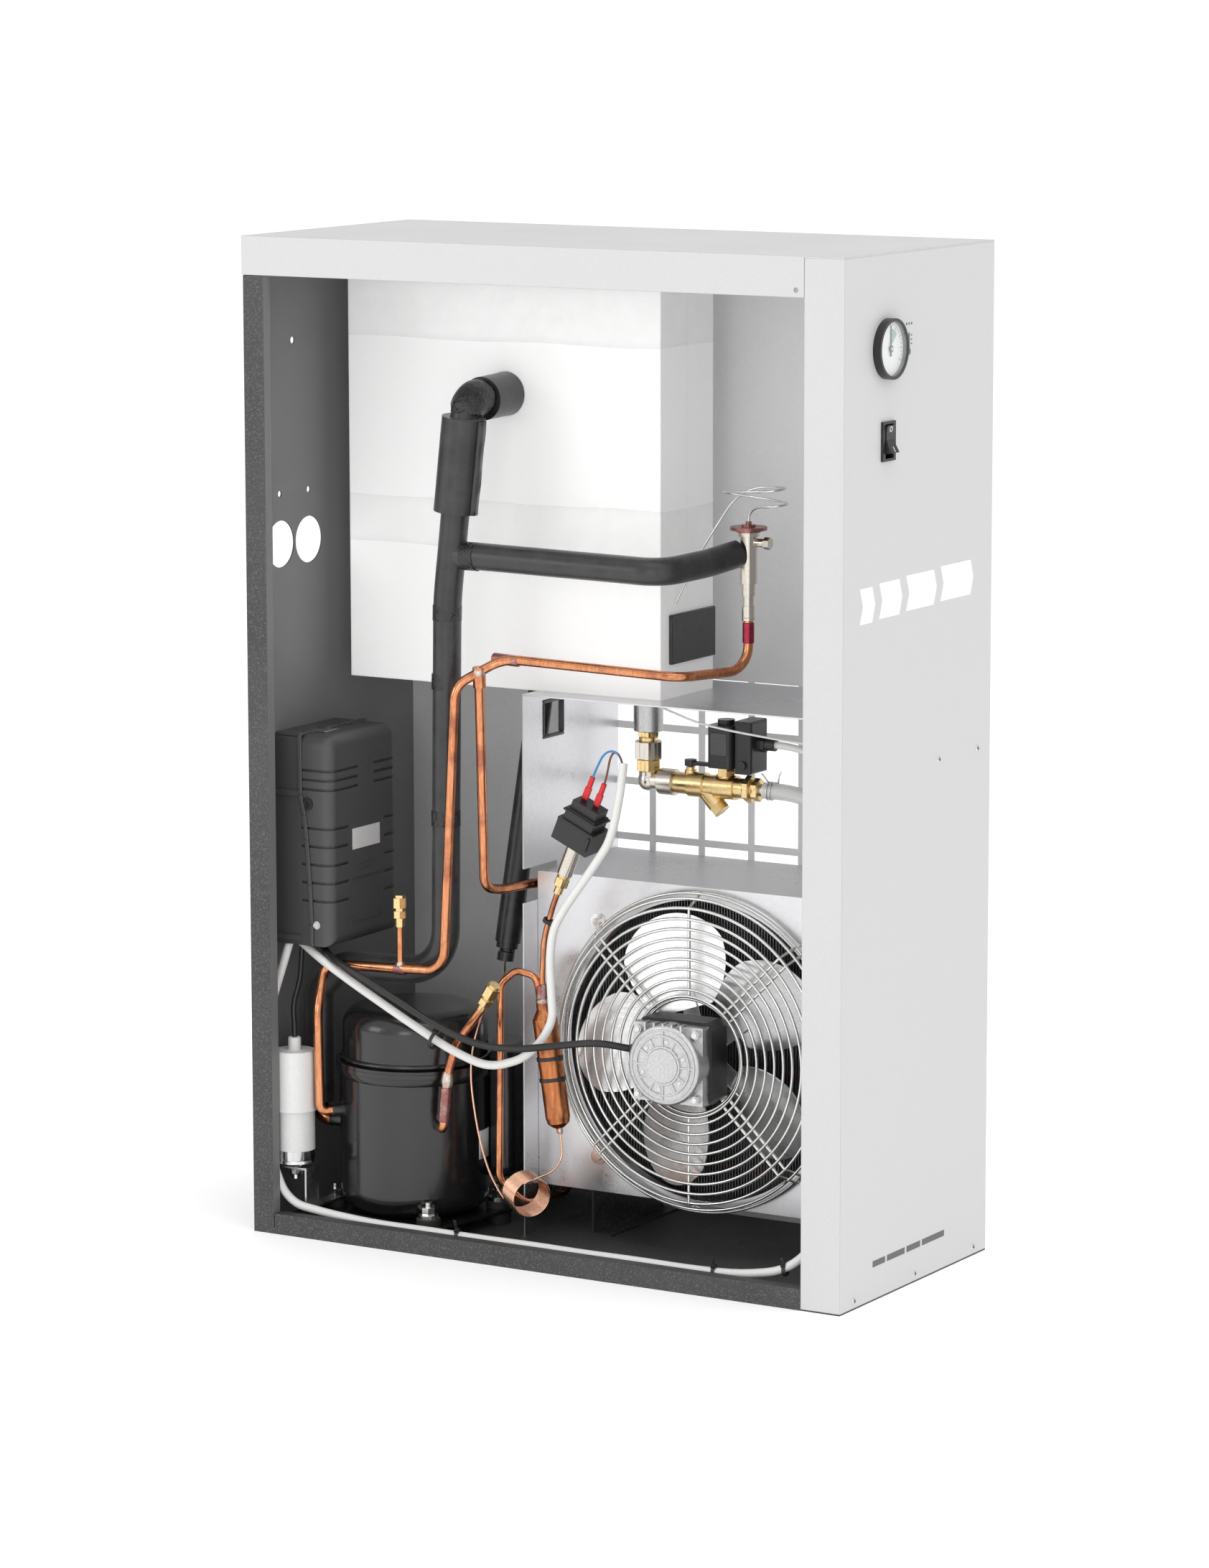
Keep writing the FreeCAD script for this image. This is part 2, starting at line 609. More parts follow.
def air_pipes():
    """Air inlet and outlet: pipes through the rear panel, with threaded ends outside it."""
    reach = ("-works_rear - air_reach", "foam_rear + foam_wall + core_gap")
    shoulder = "-works_rear - 2"
    pipes = []
    for i in range(2):
        centre = ("air_line", f"cab_tall - air_drop - {i} * air_pitch")
        thread = rod(f"air_thread_{i}", "air_rad", "x", (reach[0], shoulder), centre)
        outer = rod(f"air_pipe_{i}", "air_rad - 0.6", "x", (shoulder, reach[1]), centre)
        inner = rod(f"air_bore_{i}", "air_bore", "x", (f"{reach[0]} - 1", f"{reach[1]} + 1"), centre)
        pipes.append(carve(f"air_line_{i}", join(f"air_run_{i}", thread, outer), inner))
    node("air_pipes", join("air_pair", *pipes))


# ---------------------------------------------------------------- compressor

def comp_centre():
    """The compressor's axis, in the works' frame."""
    return Vector(val("comp_cx"), val("comp_cy"), 0)


def shell_point(degrees, height, out=0.0):
    """A point on the compressor's side, so far out from the shell."""
    turn = math.radians(degrees)
    reach = val("comp_rad") + out
    return comp_centre() + Vector(reach * math.cos(turn), reach * math.sin(turn), height)


def bolt_places():
    """The four feet, on a rectangle that is turned a little about Z."""
    turn = Rotation(Vector(0, 0, 1), val("foot_turn"))
    places = []
    for side_x, side_y in ((-1, -1), (1, -1), (1, 1), (-1, 1)):
        arm = Vector(side_x * val("foot_long") / 2, side_y * val("foot_wide") / 2, 0)
        places.append(comp_centre() + turn.multVec(arm))
    return places


def compressor():
    """Hermetic compressor: welded shell and lid, the pump inside, feet and rubber mounts."""
    centre = ("comp_cx", "comp_cy")
    def can(name, radius, low, high, round_edge, at_top):
        """A cylinder with a large round at one end."""
        body = rod(name + "_can", radius, "z", (low, high), centre)
        doc.recompute()
        level = body.Shape.BoundBox.ZMax if at_top else body.Shape.BoundBox.ZMin
        def end_circle(edge):
            return len(edge.Vertexes) == 1 and abs(edge.BoundBox.ZMin - level) < 1e-6 \
                and edge.BoundBox.ZLength < 1e-6
        return soften(name, body, round_edge, end_circle)
    lower = can("shell_outer", "comp_rad", "comp_base", "comp_seam", 24, False)
    lower_in = can("shell_inner", "comp_rad - comp_wall", "comp_base + comp_wall", "comp_seam + 1", 21, False)
    flange = rod("shell_flange", "comp_flange", "z", ("comp_seam - 5", "comp_seam"), centre)
    stubs = []
    for name, degrees, height, radius in (("suction", 199, 104, 8), ("discharge", 230, 122, 6.2),
                                          ("process", 319, 116, 5)):
        turn = math.radians(degrees)
        start = shell_point(degrees, height, -4)
        stub = doc.addObject("Part::Cylinder", f"stub_{name}")
        stub.Radius = radius
        stub.Height = 16
        stub.Placement = Placement(start, Rotation(Vector(0, 0, 1), Vector(math.cos(turn), math.sin(turn), 0)))
        stubs.append(stub)
    plate = doc.addObject("Part::Box", "foot_sheet")
    bind(plate, "Length", "foot_long + 30")
    bind(plate, "Width", "foot_wide + 28")
    bind(plate, "Height", "foot_plate")
    turn = Rotation(Vector(0, 0, 1), val("foot_turn"))
    corner = turn.multVec(Vector(val("foot_long") / 2 + 15, val("foot_wide") / 2 + 14, 0))
    plate.Placement = Placement(comp_centre() - corner + Vector(0, 0, val("comp_base") - val("foot_plate")), turn)
    doc.recompute()
    feet = soften("foot_rounded", plate, 12, lambda edge: edge.BoundBox.ZLength > 1)
    foot_holes = []
    for i, place in enumerate(bolt_places()):
        hole = doc.addObject("Part::Cylinder", f"foot_hole_{i}")
        hole.Radius = 9.5
        hole.Height = 10
        hole.Placement = Placement(place + Vector(0, 0, val("comp_base") - 6), Rotation())
        foot_holes.append(hole)
    feet_cut = carve("foot_plate_cut", feet, *foot_holes)
    shell = carve("shell_hollow", join("shell_outside", lower, flange, *stubs), lower_in)
    node("compressor_shell", join("shell", shell, feet_cut))
    lid_out = can("lid_outer", "comp_rad - 3", "comp_seam", "comp_top", 20, True)
    lid_in = can("lid_inner", "comp_rad - 3 - comp_wall", "comp_seam - 1", "comp_top - comp_wall", 17, True)
    rim = rod("lid_rim", "comp_flange", "z", ("comp_seam", "comp_seam + 3"), centre)
    node("compressor_lid", carve("lid", join("lid_outside", lid_out, rim), lid_in))
    pump_low = "comp_base + comp_wall"
    legs = [rod(f"pump_leg_{i}", 5, "z", (pump_low, f"{pump_low} + 22"),
                (f"comp_cx + {30 * math.cos(a):.2f}", f"comp_cy + {30 * math.sin(a):.2f}"))
            for i, a in enumerate((0.5, 2.6, 4.7))]
    pump = rod("pump_block", "comp_rad - comp_wall - 14", "z", (f"{pump_low} + 18", "comp_top - comp_wall - 30"), centre)
    node("compressor_pump", join("pump", pump, *legs))


def compressor_mounts():
    """Rubber grommets and the bolts with washers and nuts, four of each."""
    floor = val("skin")
    plate_low = val("comp_base") - val("foot_plate")
    plate_high = val("comp_base")
    grommets, bolts = [], []
    for i, place in enumerate(bolt_places()):
        foot = place + Vector(0, 0, floor)
        lower = Part.makeCylinder(13, plate_low - floor, foot)
        neck = Part.makeCylinder(9.5, plate_high - plate_low, place + Vector(0, 0, plate_low))
        upper = Part.makeCylinder(12, 7, place + Vector(0, 0, plate_high))
        bore = Part.makeCylinder(3.6, 60, place)
        grommets.append(lower.multiFuse([neck, upper]).cut(bore))
        washer_low = plate_high + 7
        washer_top = washer_low + (2 if i == 0 else 4)
        stud = Part.makeCylinder(3.5, washer_low + 16 - floor, foot)
        washer = Part.makeCylinder(10, washer_top - washer_low, place + Vector(0, 0, washer_low))
        nut = stack_along(place + Vector(0, 0, washer_low + 4), (0, 0, 1), (("hex", 7, 7),))
        bolts.append(stud.multiFuse([washer, nut]))
    made("compressor_grommets", Part.makeCompound(grommets))
    made("compressor_bolts", Part.makeCompound(bolts))


def terminal_cover():
    """Glossy cover over the compressor's terminals, shaped to the shell."""
    box = block("terminal_box", (-152, -112), (-22, 48), (52, 186))
    doc.recompute()
    rounded = soften("terminal_rounded", box, 12, lambda edge: edge.BoundBox.XMax > -112.5)
    clear = rod("terminal_clear", "comp_flange + 0.3", "z", (40, 200), ("comp_cx", "comp_cy"))
    node("terminal_cover", carve("terminal", rounded, clear))


def capacitor():
    """Motor capacitor with its white cap, on a bracket held by a compressor foot."""
    axis = Vector(val("cap_cx"), val("cap_cy"), 0)
    radius = val("cap_rad")
    stud = stack_along(axis + Vector(0, 0, 50), (0, 0, 1), (("round", 4, 5), ("hex", 8, 7), ("round", 4, 4)))
    can = Part.makeCylinder(radius, 56, axis + Vector(0, 0, 66))
    cap = Part.makeCylinder(radius + 2.6, 60, axis + Vector(0, 0, 122))
    neck = Part.makeCylinder(6.5, 13, axis + Vector(0, 0, 182))
    made("capacitor", stud.multiFuse([can, cap, neck]))
    foot = bolt_places()[0]
    shelf_z = 62
    foot_z = val("comp_base") + 9
    right = foot.x + 8
    upright = right - 12
    shelf = Part.makeBox(upright - axis.x + 14, 22, 2, Vector(axis.x - 12, axis.y - 10, shelf_z))
    leg = Part.makeBox(2, 22, shelf_z + 2 - foot_z, Vector(upright, axis.y - 10, foot_z))
    arm = Part.makeBox(15, foot.y + 6 - axis.y + 10, 2, Vector(upright, axis.y - 10, foot_z))
    clear = Part.makeCylinder(4.2, 60, axis + Vector(0, 0, 30))
    bore = Part.makeCylinder(3.6, 40, foot)
    shell_room = Part.makeCylinder(val("comp_rad") + 0.5, 120, comp_centre() + Vector(0, 0, val("comp_base") + 1))
    made("capacitor_bracket", shelf.multiFuse([leg, arm]).cut(clear).cut(bore).cut(shell_room))


# ---------------------------------------------------------------- pipes of the refrigerant circuit

def suction_line():
    """Suction pipe from the exchanger to the compressor, with its insulation and branch."""
    stub_z = val("cab_tall") - 156
    core_face = val("foam_near") + val("foam_skin") + val("core_gap")
    end = shell_point(199, 104, 12)
    down = shell_point(199, 104, 22)
    shared = [(-122, -80, stub_z - 2), (-146, -77, 640), (-150, -75, 440), (-154, -72, 268),
              (-276, -72, 264), (down.x, down.y, 236)]
    radii = [20, 300, 300, 46, 24, 24]
    pipe_route = [(-122, core_face, stub_z)] + shared + [(down.x, down.y, 104), tuple(end)]
    made("suction_pipe", tube(pipe_route, radii + [9], val("suction_rad") - 0.1, note="suction pipe"))
    foam_route = [(-122, val("foam_near") + 1, stub_z)] + shared + [(down.x, down.y, 122)]
    foam = tube(foam_route, radii, val("foam_tube"), note="suction insulation")
    sleeve_out = val("sleeve_rad")
    stub_sleeve = bar((-122, val("foam_near"), stub_z), (-122, -50, stub_z - 1.5), sleeve_out)
    drop_sleeve = bar((-123.9, -79.8, 821), (-135.3, -78.3, 728), sleeve_out)
    branch = tube([(-144.5, -76, 686), (97, -78, 682), (113, -18, 686), (128.5, 13.5, 693)], [28, 60],
                  val("foam_tube") - 0.5, note="branch insulation")
    shape = foam.multiFuse([stub_sleeve, drop_sleeve, branch])
    bore = tube(pipe_route[:1] + shared + [(down.x, down.y, 104)], radii, val("suction_rad"))
    made("suction_insulation", shape.cut(bore))


def hot_gas_pipe():
    """Copper pipe from the compressor to the hot gas valve, with its tee to the condenser."""
    radius = val("hot_rad")
    valve_x, valve_y = val("valve_cx"), val("valve_cy")
    stub = shell_point(230, 122, 12)
    bend = shell_point(230, 122, 24)
    main = tube([(valve_x, valve_y, 628), (valve_x, valve_y, 580), (108, -62, 580), (-86, -71, 586),
                 (-124, -99, 560), (-138, -101, 276), (-282, -95, 268), (bend.x - 2, bend.y, 226),
                 (bend.x, bend.y, 122), tuple(stub)],
                [24, 26, 40, 24, 24, 11, 60, 8], radius, note="hot gas pipe")
    branch = tube([(-105, -85, 573), (-108, -72, 357), (-104, -46, 352), (-97, -8, 352), (-80, 19, 354),
                   (val("shroud_rear") + val("fin_inset"), 20, 354)], [16, 60, 16, 8], radius, note="condenser branch")
    tee = bar((-105, -85, 578), (-105.5, -83, 558), radius + 1.6)
    made("hot_gas_pipe", main.multiFuse([branch, tee]))


def hot_gas_valve():
    """Valve body with its side port, and the copper power head on top."""
    axis = (val("valve_cx"), val("valve_cy"))
    body = stack_along((*axis, 628), (0, 0, 1), (("round", 6.2, 14), ("round", 5.4, 10), ("round", 6.6, 12),
                                                 ("round", 8.6, 46), ("round", 10.5, 4)))
    port = stack_along((axis[0] + 5, axis[1], 704), (1, 0, 0), (("round", 4.2, 13), ("hex", 6, 6)))
    made("hot_gas_valve_body", body.multiFuse([port]))
    head = stack_along((*axis, 714), (0, 0, 1), (("round", 12, 2), ("round", 18, 3.2), ("round", 7, 2),
                                                 ("round", 3, 3)))
    made("hot_gas_valve_head", head)


def sensing_tubes():
    """The valve's sensing tube in loose turns, and the gauge's sensing tube."""
    fine = 1.1
    x, y = val("valve_cx"), val("valve_cy")
    valve_route = [(x, y, 724.2), (x, y, 738), (x + 36, y - 8, 741), (x + 42, y + 14, 743), (x - 28, y + 24, 747),
                   (x - 38, y + 2, 751), (x + 30, y - 10, 755), (x + 40, y + 16, 758), (x - 22, y + 26, 754),
                   (x - 44, y + 8, 712), (x - 66, y + 2, 672), (x - 79, y - 4, 640)]
    valve_tube = tube(valve_route, fair_radii(valve_route), fine, note="valve sensing tube")
    gauge_x = val("cab_len") / 2 - val("skin") - 22.5 - works_offset().x
    gauge_y = val("gauge_cy") - works_offset().y
    gauge_z = val("cab_tall") - val("gauge_drop")
    gauge_route = [(gauge_x, gauge_y, gauge_z), (gauge_x - 14, gauge_y, gauge_z), (gauge_x - 16, gauge_y + 8, 840),
                   (gauge_x - 12, gauge_y + 16, 700), (gauge_x - 14, -46, 580), (gauge_x - 20, -43, 528),
                   (gauge_x - 60, -8, 515), (gauge_x - 120, -2, 517), (96, 4, 524), (56, 8, 535),
                   (34.5, drain_near(), 538)]
    gauge_tube = tube(gauge_route, fair_radii(gauge_route), fine, note="gauge sensing tube")
    made("sensing_tubes", Part.makeCompound([valve_tube, gauge_tube]))


def drain_near():
    """The near side of the drain socket, where the gauge's tube is strapped."""
    return val("drain_cy") - 12


def filter_drier():
    """Copper filter drier, slung between the liquid pipe and the capillary tube."""
    top = Vector(-49, -60, 248)
    foot = Vector(-29.5, -60, 118)
    heading = foot - top
    place = Placement(top, Rotation(Vector(0, 0, 1), heading))
    profile = [(0, 0), (6.6, 0), (6.8, 8), (12.2, 18), (12.2, 116), (10.8, 122), (6, 126), (3, 127.5),
               (3, heading.Length),
               (0, heading.Length)]
    face = Part.Face(Part.makePolygon([Vector(r, 0, z) for r, z in profile + profile[:1]]))
    body = face.revolve(Vector(), Vector(0, 0, 1), 360)
    body.Placement = place
    made("filter_drier", body)


def liquid_pipe():
    """Liquid pipe from the condenser's foot, up and over into the filter drier."""
    route = [(-66, 20, 46), (-66, 8, 38), (-76, -48, 38), (-95, -68, 62), (-93, -67, 262), (-78, -62, 276),
             (-56, -60, 272), (-51.4, -60, 248.2)]
    made("liquid_pipe", tube(route, [8, 18, 22, 14, 10, 11], val("hot_rad") - 1.2, note="liquid pipe"))


def capillary_tube():
    """Capillary tube from the drier: a wound coil, a long bow, then into its own insulation."""
    fine = val("fine_rad")
    axis = Vector(0.82, -0.55, -0.16).normalize()
    centre = Vector(-56, -80, 57)
    width, coil_rad = 22, 21
    start = centre - axis * (width / 2)
    coil = Part.makeCylinder(coil_rad, width, start, axis).cut(
        Part.makeCylinder(coil_rad - 2 * fine, width + 4, start - axis * 2, axis))
    lead_in = tube([(-29.4, -60, 117.6), (-25, -61, 98), (-30, -68, 76), (-41, -76, 64)], [24, 24], fine)
    lead_out = [(-76, -84, 52), (-95, -93, 84), (-104, -98, 130), (-109, -101, 186), (-111, -76, 231),
                (-103, -58, 257), (-126, -6, 256), (-136, 10.6, 261), (-136, 11, 277)]
    radii = [40, 90, 60, 30, 16, 30, 8]
    made("capillary_tube", coil.multiFuse([lead_in, tube(lead_out, radii, fine, note="capillary tube")]))
    knot = Vector(-136, 11, 268)
    lean = Vector(0.08, 0.13, 1)
    top = val("shelf_low") + val("skin")
    rise = (top - knot.z) * lean.Length
    sleeve = stack_along(knot, lean, (("round", 8.5, 9), ("round", 5.5, 4), ("round", 11, 6), ("round", 12.8, rise)))
    above = Part.makeBox(120, 160, 60, Vector(-190, -60, top))
    hole = Part.makeCylinder(fine + 0.2, 12, Vector(-136, 11, 264))
    made("capillary_sleeve", sleeve.cut(above).cut(hole))


SWITCH_FOOT = Vector(-24.6, -71, 359.5)


def service_valves():
    """Two brass service valves and the small copper pipes that carry them and the pressure switch."""
    first = stack_along((-190, -98.6, 315), (0, 0, 1), (("round", 4.6, 9), ("hex", 6.6, 7), ("round", 5, 3),
                                                        ("hex", 7, 10), ("round", 5.4, 3)))
    second = stack_along((-102.5, -88, 239), (0.55, -0.08, 0.83), (("round", 5, 7), ("hex", 7.2, 7), ("round", 5.4, 3),
                                                                   ("hex", 7.8, 12), ("round", 6, 3)))
    made("service_valves", Part.makeCompound([first, second]))
    stub = shell_point(319, 116, 12)
    bend = shell_point(319, 116, 20)
    process = tube([tuple(stub), (bend.x, bend.y, 116), (-137.5, -97, 168), (-130, -91, 202), (-102, -88, 240)],
                   [6, 60, 20], 4.4, note="process stub")
    upright = Part.makeCylinder(3.2, 38, Vector(-190, -98.6, 277.6))
    route = [(-48, -60, 248.2), (-49, -60.5, 272), (-45, -63, 312), (-31, -69, 346), tuple(SWITCH_FOOT)]
    carrier = tube(route, [40, 90, 50], 2.9, note="pressure switch pipe")
    made("service_stubs", Part.makeCompound([upright.cut(first), process.cut(second), carrier]))


def pressure_switch():
    """Pressure switch hung on its own pipe: black head on a steel stem with a brass nut."""
    heading = Vector(0.4226, -0.087, 0.9026).normalize()
    stem_long = 57.5
    stem = stack_along(SWITCH_FOOT, heading, (("round", 4.4, 9), ("hex", 7.4, 10), ("round", 6, 3),
                                                ("round", 7.8, stem_long - 22)))
    made("pressure_switch_fitting", stem)
    spin = Rotation(Vector(0, 0, 1), heading)
    base = SWITCH_FOOT + heading * stem_long
    lower = Part.makeBox(42, 30, 24, Vector(-21, -15, 0))
    middle = Part.makeBox(34, 26, 12, Vector(-17, -13, 24))
    upper = Part.makeBox(30, 20, 9, Vector(-15, -10, 36))
    blades = [Part.makeBox(6, 0.8, 9, Vector(x - 3, -0.4, 45)) for x in (-8, 6)]
    head = lower.multiFuse([middle, upper] + blades)
    head.Placement = Placement(base, spin)
    made("pressure_switch_body", head)


# ---------------------------------------------------------------- condenser and fan

def condenser():
    """Fin block with its tube bends at both ends."""
    low = "shroud_low + shroud_skin"
    high = "shroud_top - shroud_skin"
    left, right = "shroud_rear + fin_inset", "shroud_front - fin_inset - 2"
    core = block("fin_block", (left, right), ("coil_near", "coil_far"), (low, high))
    node("condenser_core", core)
    bends = []
    inset = val("fin_inset")
    pitch = 50
    count = int((val("shroud_top") - val("shroud_low") - 30) // pitch)
    depth = (val("coil_near") + val("coil_far")) / 2
    for i in range(count):
        height = val("shroud_low") + 32 + i * pitch
        for end, way in ((val("shroud_rear") + inset, -1), (val("shroud_front") - inset - 2, 1)):
            path = rounded_path([(end, depth - 16, height), (end + way * 8, depth - 16, height),
                                 (end + way * 8, depth + 16, height), (end, depth + 16, height)], [7.9, 7.9])
            hoop = Part.Wire(Part.Circle(Vector(end, depth - 16, height), Vector(1, 0, 0), 4.8).toShape())
            bends.append(path.makePipeShell([hoop], True, False))
    made("condenser_tubes", Part.makeCompound(bends))


def fan_shroud():
    """Galvanised box around the condenser, with the fan's round mouth and its feet."""
    across = ("shroud_rear", "shroud_front")
    deep = ("shroud_near", FAR_IN)
    upright = ("shroud_low", "shroud_top")
    sheets = [
        block("shroud_face", across, ("shroud_near", "shroud_near + shroud_skin"), upright),
        block("shroud_roof", across, deep, ("shroud_top - shroud_skin", "shroud_top")),
        block("shroud_floor", across, deep, ("shroud_low", "shroud_low + shroud_skin")),
        block("shroud_end", ("shroud_front - shroud_skin", "shroud_front"), deep, upright),
        rod("shroud_collar", "fan_mouth + shroud_skin", "y", ("shroud_near", "shroud_near + 12"),
            ("fan_cx", "fan_cz")),
    ]
    for name, at in (("rear", -30), ("front", 250)):
        sheets.append(block(f"leg_{name}", (at, f"{at} + 2"), (2, 140), ("skin", "shroud_low")))
        sheets.append(block(f"leg_{name}_foot", (at, f"{at} + 22"), (2, 140), ("skin", "skin + 2")))
    mouth = rod("shroud_mouth", "fan_mouth", "y", ("shroud_near - 1", "shroud_near + 13"), ("fan_cx", "fan_cz"))
    drain_notch = block("shroud_pipe_gap", (-74, -58), (11, 29), ("shroud_low - 1", "shroud_low + shroud_skin + 1"))
    node("fan_shroud", carve("shroud", join("shroud_sheets", *sheets), mouth, drain_notch))


def fan_guard():
    """Wire basket: concentric rings, double spokes on the diagonals, rim rings and lugs."""
    cx, cz = val("fan_cx"), val("fan_cz")
    face, wire = val("guard_face"), val("guard_wire")
    rim_y = val("shroud_near") - wire
    hub, rim = val("guard_hub"), val("guard_rad") - wire
    outer = rim - 12

    def hoop(radius, y):
        return Part.makeTorus(radius, wire, Vector(cx, y, cz), Vector(0, 1, 0))

    def at(radius, degrees, y, aside=0.0):
        turn = math.radians(degrees)
        return (cx + radius * math.cos(turn) - aside * math.sin(turn), y,
                cz + radius * math.sin(turn) + aside * math.cos(turn))

    shapes = [hoop(hub, face + 3), hoop(hub + 3, face)]
    radius = hub + val("ring_pitch")
    while radius < outer - 2:
        shapes.append(hoop(radius, face))
        radius += val("ring_pitch")
    shapes += [hoop(outer, face + 3), hoop(rim - 4, face + 12), hoop(rim, face + 20), hoop(rim, rim_y)]
    behind = face + 1.6 * wire
    for degrees in (45, 135, 225, 315):
        for aside in (-5, 5):
            shapes.append(bar(at(hub + 1, degrees, behind, aside), at(outer, degrees, behind, aside), wire))
            shapes.append(bar(at(outer, degrees, behind, aside), at(rim, degrees, face + 20, aside), wire))
            shapes.append(bar(at(rim, degrees, face + 20, aside), at(rim, degrees, rim_y, aside), wire))
        tab = Part.makeBox(14, 2, 8, Vector(44, val("guard_face") + 4, -4))
        tab.Placement = Placement(Vector(cx, 0, cz), Rotation(Vector(0, 1, 0), degrees)).multiply(tab.Placement)
        shapes.append(tab)
        lug_place = at(rim + 9, degrees, val("shroud_near") - 2)
        lug = Part.makeCylinder(8, 2, Vector(*lug_place), Vector(0, 1, 0))
        stem = bar(at(rim - 1, degrees, rim_y), at(rim + 6, degrees, rim_y), wire - 0.1)
        screw = Part.makeCylinder(4.2, 3, Vector(*lug_place) - Vector(0, 3, 0), Vector(0, 1, 0))
        shapes += [lug, stem, screw]
    for degrees in (90, 270):
        shapes.append(bar(at(hub + 2, degrees, behind), at(outer, degrees, behind), wire))
        shapes.append(bar(at(outer, degrees, behind), at(rim, degrees, rim_y), wire))
    made("fan_guard", shapes[0].multiFuse(shapes[1:]))


def fan_motor():
    """Motor on the guard: stator, cast end bells, shaft and hub, and the blades."""
    cx, cz = val("fan_cx"), val("fan_cz")
    back = val("guard_face") + 4
    half = val("motor_half")
    stack = 30
    front = back - stack
    stator = Part.makeBox(2 * half, stack, 2 * half, Vector(cx - half, front, cz - half)).common(
        Part.makeCylinder(half * 1.29, stack, Vector(cx, front, cz), Vector(0, 1, 0)))
    bore_in = Part.makeCylinder(half * 0.6, stack, Vector(cx, front, cz), Vector(0, 1, 0))
    made("fan_motor_stator", stator.cut(bore_in))
    place = Placement(Vector(cx, front, cz), Rotation(Vector(1, 0, 0), 90))
    bell = Part.makeCylinder(half - 1.5, 22).fuse(Part.makeBox(2 * half - 6, 2 * half - 6, 12,
                                                               Vector(3 - half, 3 - half, 0)))
    bell = bell.makeFillet(4, [e for e in bell.Edges if e.BoundBox.ZMin > 21.9])
    boss = Part.makeCylinder(17, 3, Vector(0, 0, 21))
    lugs = []
    for side_x in (-1, 1):
        for side_y in (-1, 1):
            lugs.append(Part.makeCylinder(4, 4, Vector(side_x * 32, side_y * 32, 12)))
    ribs = [Part.makeBox(2, 11, 10, Vector(x, 30, 11)) for x in (-22, -12, -2, 8, 18)]
    pocket = Part.makeCylinder(half * 0.5, 12, Vector(0, 0, -1))
    bell = bell.multiFuse([boss] + lugs + ribs).cut(pocket)
    bell.Placement = place
    shaft_bore = val("shaft_rad") + val("shaft_gap")
    hub_near = val("shroud_near") - 7
    rear_bell = Part.makeCone(half - 2, 24, hub_near - 3 - back, Vector(cx, back, cz), Vector(0, 1, 0)).cut(
        Part.makeCylinder(shaft_bore, 80, Vector(cx, back - 1, cz), Vector(0, 1, 0)))
    made("fan_motor_case", Part.makeCompound([bell, rear_bell]))
    shaft = Part.makeCylinder(val("shaft_rad"), hub_near + 8 - (back - 4), Vector(cx, back - 4, cz), Vector(0, 1, 0))
    armature = Part.makeCylinder(half * 0.6 - 0.6, stack - 8, Vector(cx, front + 3, cz), Vector(0, 1, 0))
    hub = Part.makeCylinder(27, 7, Vector(cx, hub_near, cz), Vector(0, 1, 0))
    made("fan_rotor", armature.multiFuse([shaft, hub]))
    made("fan_blades", fan_blade_set(cx, cz, hub_near + 7))


def fan_blade_set(cx, cz, hub_back):
    """Five pitched paddles on arms, in one pressed spider behind the hub."""
    spider = Part.makeCylinder(24, 1.5, Vector(0, hub_back, 0), Vector(0, 1, 0))
    count = 5
    tip = val("fan_rad")
    root = 44
    blade_y = hub_back - 3
    sheet_thick = 1.4
    shapes = [spider]
    half_root, half_tip = 24, 50
    middle = root + 0.62 * (tip - root)
    for i in range(count):
        spin = Placement(Vector(), Rotation(Vector(0, 1, 0), 90 + 18 + 360 * i / count))
        arm = Part.makeBox(root + 14, 1.5, 18, Vector(0, hub_back, -9))
        edge = [Part.LineSegment(Vector(root, 0, -half_root), Vector(root, 0, half_root)).toShape(),
                Part.Arc(Vector(root, 0, half_root), Vector(root + 30, 0, half_tip - 4), Vector(middle, 0, half_tip))
                .toShape(),
                Part.Arc(Vector(middle, 0, half_tip), Vector(tip - 2, 0, 6), Vector(middle, 0, -half_tip)).toShape(),
                Part.Arc(Vector(middle, 0, -half_tip), Vector(root + 30, 0, 4 - half_tip), Vector(root, 0, -half_root))
                .toShape()]
        blade = Part.Face(Part.Wire(edge)).extrude(Vector(0, sheet_thick, 0))
        rim = Part.makeCylinder(tip, 40, Vector(0, -20, 0), Vector(0, 1, 0))
        blade.Placement = Placement(Vector(0, blade_y, 0), Rotation(Vector(1, 0, 0), val("blade_pitch")))
        rim.translate(Vector(0, blade_y, 0))
        blade = blade.common(rim)
        pair = blade.fuse(arm)
        pair.Placement = spin
        shapes.append(pair)
    whole = shapes[0].multiFuse(shapes[1:])
    whole.translate(Vector(cx, 0, cz))
    return whole


# ---------------------------------------------------------------- condensate drain

